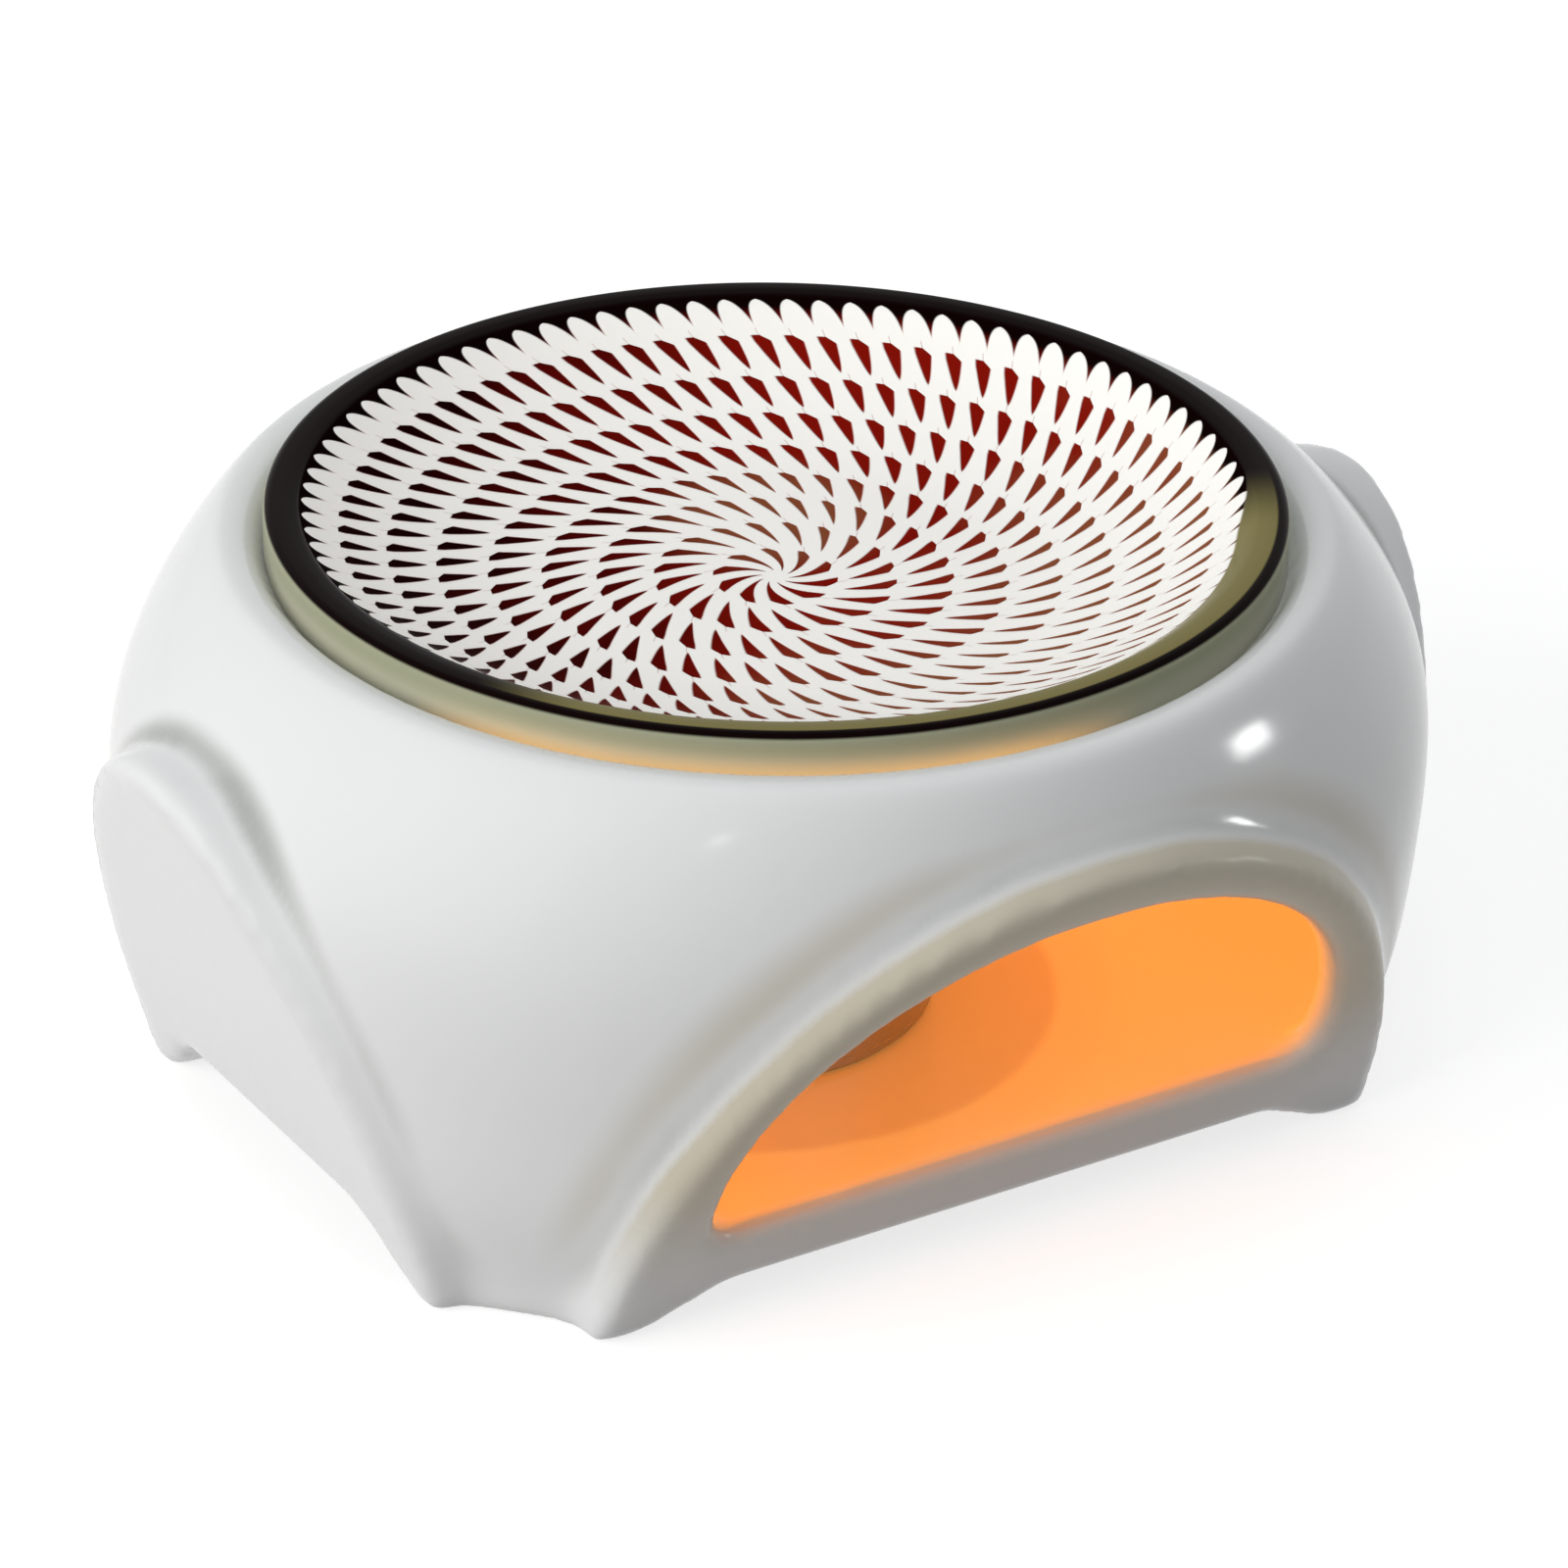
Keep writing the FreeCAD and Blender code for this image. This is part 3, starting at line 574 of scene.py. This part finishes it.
class WARMER_OT_body(bpy.types.Operator):
    """Lay the glazed skin over the warmer's body"""
    bl_idname = "warmer.body"
    bl_label = "Glazed body"

    def execute(self, context):
        size = sizes()
        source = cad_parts["warmer_body"]
        piece = source.copy()
        piece.data = source.data.copy()
        context.scene.collection.objects.link(piece)
        piece.parent = None
        piece.matrix_world = source.matrix_world
        piece.name = "glazed_body"
        piece.data.name = "glazed_body"
        pick(piece)
        bpy.ops.object.transform_apply(location=True, rotation=True, scale=True)
        bpy.ops.object.mode_set(mode="EDIT")
        bpy.ops.mesh.select_all(action="SELECT")
        weld = 0.001 * MM
        bpy.ops.mesh.remove_doubles(threshold=weld)
        bpy.ops.object.mode_set(mode="OBJECT")
        apply_modifier(piece, "REMESH", mode="VOXEL", voxel_size=size.glaze_grid)
        apply_modifier(piece, "SMOOTH", factor=0.5, iterations=size.glaze_flow)
        # Below the mouth the glaze lies thicker and rounds the arches' edges more
        below = piece.vertex_groups.new(name="below_shoulder")
        shoulder = BODY_HIGH.z - 6 * MM
        low_spots = np.flatnonzero(positions(piece.data)[:, 2] < shoulder).tolist()
        below.add(low_spots, 1.0, "REPLACE")
        apply_modifier(piece, "SMOOTH", factor=0.5, iterations=size.arch_flow, vertex_group="below_shoulder")
        piece.vertex_groups.clear()
        # The levelled skin is set back to the body's exact outside size
        corners = [piece.matrix_world @ Vector(corner) for corner in piece.bound_box]
        low = Vector(min(corner[axis] for corner in corners) for axis in range(3))
        high = Vector(max(corner[axis] for corner in corners) for axis in range(3))
        ratio = [(BODY_HIGH[axis] - BODY_LOW[axis]) / (high[axis] - low[axis]) for axis in range(3)]
        middle = (BODY_LOW + BODY_HIGH) / 2
        bpy.ops.object.mode_set(mode="EDIT")
        bpy.ops.mesh.select_all(action="SELECT")
        bpy.ops.transform.translate(value=middle - (low + high) / 2)
        bpy.ops.transform.resize(value=ratio, center_override=middle)
        bpy.ops.object.mode_set(mode="OBJECT")
        note_creases(piece, size.crease_flow)
        if len(piece.data.polygons) < 1000:
            raise RuntimeError("the glazed body came out empty")
        finish_piece(piece, porcelain_material(), "warmer", "warmer_body", smooth=60)
        return {"FINISHED"}


class WARMER_OT_dish(bpy.types.Operator):
    """Turn the shallow dish with its rim and foot ring"""
    bl_idname = "warmer.dish"
    bl_label = "Patterned dish"

    def execute(self, context):
        size = sizes()
        outer = DISH_HIGH.x
        top = DISH_HIGH.z
        foot_level = top - size.rim_height
        foot_inner = outer - size.foot_width
        inner = outer - size.rim_width
        bowl_floor = DISH_LOW.z + size.dish_wall

        def curve(radius, low, edge_radius, edge_level):
            """Level of a surface that is flat in its middle and curves up to an edge."""
            reach = edge_radius - size.bowl_flat
            rise = edge_level - low
            bend = (reach ** 2 + rise ** 2) / (2 * rise)
            return low + bend - math.sqrt(bend ** 2 - max(radius - size.bowl_flat, 0) ** 2)

        def bowl(radius):
            return curve(radius, bowl_floor, inner, top)

        def under(radius):
            return curve(radius, DISH_LOW.z, foot_inner, foot_level - size.bowl_step)

        under_steps = 12
        reaches = [foot_inner * step / under_steps for step in range(1, under_steps + 1)]
        rings = [(reach, under(reach)) for reach in reaches]
        edge = 0.3 * MM
        rings += [(foot_inner, foot_level), (outer - edge, foot_level), (outer, foot_level + edge)]
        rings += arc((outer - size.rim_round, top - size.rim_round), size.rim_round, 0, 90, 8)
        # The rim's top rolls over into the bowl in small steps, each a way out from the bowl and a drop
        roll = ((1.1 * MM, 0.0), (0.6 * MM, 0.03 * MM), (0.2 * MM, 0.12 * MM))
        rings += [(inner + way_out, top - drop) for way_out, drop in roll]
        bowl_steps = 40
        bowl_edge = inner - 0.2 * MM
        reaches = [bowl_edge * (1 - step / bowl_steps) for step in range(bowl_steps)]
        rings += [(reach, bowl(reach)) for reach in reaches]
        rings.append((0, bowl_floor))
        piece = turned("glazed_dish", rings)
        finish_piece(piece, dish_material(), "dish", "dish", smooth=50)
        return {"FINISHED"}


class WARMER_OT_tealight(bpy.types.Operator):
    """Turn the tealight's cup, wax, tab, wick and flame"""
    bl_idname = "warmer.tealight"
    bl_label = "Lit tealight"

    def execute(self, context):
        size = sizes()
        middle = (CANDLE_MIDDLE.x, CANDLE_MIDDLE.y)
        floor = CUP_LOW.z
        top = CUP_HIGH.z
        edge = (CUP_HIGH.x - CUP_LOW.x) / 2 - size.cup_bead
        foot = edge - size.cup_draft
        corner = 0.6 * MM
        cup = [(foot - corner, floor), (foot, floor + corner), (edge, top - 2 * size.cup_bead)]
        cup += arc((edge, top - size.cup_bead), size.cup_bead, -70, 120, 10)
        cup += [(edge - size.cup_sheet, top - size.cup_bead), (foot - size.cup_sheet, floor + corner),
                (foot - size.cup_sheet - corner, floor + size.cup_sheet), (0, floor + size.cup_sheet)]
        finish_piece(turned("foil_cup", cup, middle), foil_material(), "tealight", "tealight_cup")

        wax_top = (WAX_HIGH.x - WAX_LOW.x) / 2
        wax_foot = wax_top - size.cup_draft * (WAX_HIGH.z - WAX_LOW.z) / (CUP_HIGH.z - CUP_LOW.z)
        pool = WAX_HIGH.z - size.pool_depth
        wick = (WICK_HIGH.x - WICK_LOW.x) / 2
        wax = [(wax_foot - corner, WAX_LOW.z), (wax_foot, WAX_LOW.z + corner),
               (wax_top, WAX_HIGH.z - 0.1 * MM)]
        # The bank falls from the cup to the pool, each step a way in and a height above the pool
        bank = ((0.2 * MM, size.pool_depth), (0.9 * MM, size.pool_depth / 2),
                (2.2 * MM, 0.05 * MM), (4 * MM, 0.0))
        wax += [(wax_top - way_in, pool + height) for way_in, height in bank]
        # The molten wax climbs the wick a little
        climb = 0.3 * MM
        wax += [(3 * wick, pool), (1.6 * wick, pool + climb / 3),
                (1.1 * wick, pool + climb), (0, pool + climb)]
        finish_piece(turned("candle_wax", wax, middle), wax_material(), "tealight", "tealight_wax")

        tab_edge = (TAB_HIGH.x - TAB_LOW.x) / 2
        sheet = TAB_LOW.z + size.tab_sheet
        ferrule = size.ferrule_radius
        fillet = 0.3 * MM
        top_edge = 0.2 * MM
        tab = [(tab_edge, TAB_LOW.z), (tab_edge, sheet), (1.25 * ferrule, sheet), (ferrule, sheet + fillet),
               (ferrule, TAB_HIGH.z - top_edge), (ferrule - top_edge, TAB_HIGH.z), (0, TAB_HIGH.z)]
        piece = turned("wick_tab", tab, middle)
        finish_piece(piece, tin_material(), "tealight", "wick_sustainer")

        stem = [(0.9 * wick, WICK_LOW.z)]
        steps = 24
        rise = WICK_HIGH.z - WICK_LOW.z
        stem += [(wick * (0.94 + 0.06 * math.sin(step * 2.1)), WICK_LOW.z + rise * step / steps)
                 for step in range(1, steps - 1)]
        stem += [(0.8 * wick, WICK_HIGH.z - 0.4 * MM), (0.5 * wick, WICK_HIGH.z), (0, WICK_HIGH.z)]
        finish_piece(turned("candle_wick", stem, middle), cotton_material(), "tealight", "wick")

        low = WICK_HIGH.z - 1.6 * MM
        steps = 20
        flame = []
        for step in range(1, steps):
            up = step / steps
            belly = math.sin(math.pi * up ** 0.62) ** 0.9 * (1 - 0.35 * up)
            flame.append((size.flame_radius * belly * 1.1, low + size.flame_height * up))
        flame.append((0, low + size.flame_height))
        finish_piece(turned("candle_flame", flame, middle), flame_material(), "tealight", None)

        light = bpy.data.lights.new("candlelight", "POINT")
        light.energy = 0.0115
        light.color = linear("#FFA64E")[:3]
        light.shadow_soft_size = 1.5 * MM
        candlelight = bpy.data.objects.new("candlelight", light)
        candlelight.location = (middle[0], middle[1], DISH_LOW.z - 2.0 * MM)
        context.scene.collection.objects.link(candlelight)
        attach(candlelight, "tealight")
        return {"FINISHED"}


def softbox(name, where, aim, width, height, power, code="#FFFFFF", mirrored=False):
    """An area lamp at a place, aimed at a point, both in metres; a mirrored one only shows in the glaze."""
    light = bpy.data.lights.new(name, "AREA")
    light.shape = "RECTANGLE"
    light.size = width
    light.size_y = height
    light.energy = power
    light.color = linear(code)[:3]
    lamp = bpy.data.objects.new(name, light)
    lamp.location = where
    lamp.rotation_mode = "QUATERNION"
    lamp.rotation_quaternion = (Vector(where) - Vector(aim)).to_track_quat("Z", "Y")
    lamp.visible_glossy = mirrored
    lamp.visible_diffuse = not mirrored
    bpy.context.scene.collection.objects.link(lamp)
    return lamp


class WARMER_OT_stage(bpy.types.Operator):
    """Set up the floor, the lamps, the world and the camera"""
    bl_idname = "warmer.stage"
    bl_label = "Studio"

    def execute(self, context):
        pick(None)
        bpy.ops.mesh.primitive_plane_add(size=8.0, location=(0, 0, BODY_LOW.z))
        floor = context.object
        floor.name = "studio_floor"
        floor.data.materials.append(floor_material())

        aim = (0, 0, 0.03)
        softbox("key", (-0.96, -0.06, 0.42), aim, width=0.9, height=0.9, power=7.5, code="#FFFEFC")
        softbox("top", (0.05, -0.10, 1.15), aim, width=0.7, height=0.7, power=3.0, code="#F6FAFF")
        # Small windows that only show as glints in the glaze
        softbox("shoulder_glint", (0.645, -0.350, 0.100), aim, width=0.11, height=0.05, power=0.45,
                mirrored=True)
        softbox("front_glint", (-0.450, -0.590, 0.452), aim, width=0.025, height=0.025, power=0.04,
                mirrored=True)

        world = bpy.data.worlds.new("studio")
        context.scene.world = world
        world.use_nodes = True
        tree = world.node_tree
        tree.nodes.clear()
        strength = white_to_the_eye(tree, 1.0, rest=0.26)
        back = node(tree, "ShaderNodeBackground", None, {"Color": (1.0, 1.0, 1.0, 1.0), "Strength": strength})
        node(tree, "ShaderNodeOutputWorld", None, {"Surface": back.outputs[0]})

        # The camera's place, turn and lens were fitted to the photo
        stand = Vector((-322.75, -515.61, 356.09)) * MM
        azimuth, elevation, roll = (math.radians(angle) for angle in (-32.145, 28.472, 0.997))
        backward = Vector((math.sin(azimuth) * math.cos(elevation), -math.cos(azimuth) * math.cos(elevation),
                           math.sin(elevation)))
        level_right = Vector((math.cos(azimuth), math.sin(azimuth), 0))
        right = level_right * math.cos(roll) + backward.cross(level_right) * math.sin(roll)
        up = backward.cross(right)
        camera = bpy.data.objects.new("camera", bpy.data.cameras.new("camera"))
        camera.data.lens = 177.81
        camera.data.sensor_width = 36.0
        turn = Matrix((right, up, backward)).transposed().to_4x4()
        camera.matrix_world = Matrix.Translation(stand) @ turn
        context.scene.collection.objects.link(camera)
        context.scene.camera = camera
        context.scene.view_settings.view_transform = "Standard"
        return {"FINISHED"}


class WARMER_PT_panel(bpy.types.Panel):
    """Sizes, colours and build steps of the warmer"""
    bl_label = "Warmer"
    bl_idname = "WARMER_PT_panel"
    bl_space_type = "VIEW_3D"
    bl_region_type = "UI"
    bl_category = "Warmer"

    def draw(self, context):
        for step in STEPS:
            self.layout.operator(step.bl_idname)
        for group in (context.scene.warmer_sizes, context.scene.warmer_colours):
            for key in type(group).__annotations__:
                self.layout.prop(group, key)


STEPS = (WARMER_OT_body, WARMER_OT_dish, WARMER_OT_tealight, WARMER_OT_stage)
CLASSES = (WarmerSizes, WarmerColours) + STEPS + (WARMER_PT_panel,)


def register():
    for made in CLASSES:
        bpy.utils.register_class(made)
    bpy.types.Scene.warmer_sizes = PointerProperty(type=WarmerSizes)
    bpy.types.Scene.warmer_colours = PointerProperty(type=WarmerColours)


def unregister():
    del bpy.types.Scene.warmer_colours
    del bpy.types.Scene.warmer_sizes
    for made in reversed(CLASSES):
        bpy.utils.unregister_class(made)


def main():
    """Build everything in order."""
    register()
    bpy.ops.warmer.body()
    bpy.ops.warmer.dish()
    bpy.ops.warmer.tealight()
    bpy.ops.warmer.stage()


if __name__ == "__main__":
    main()
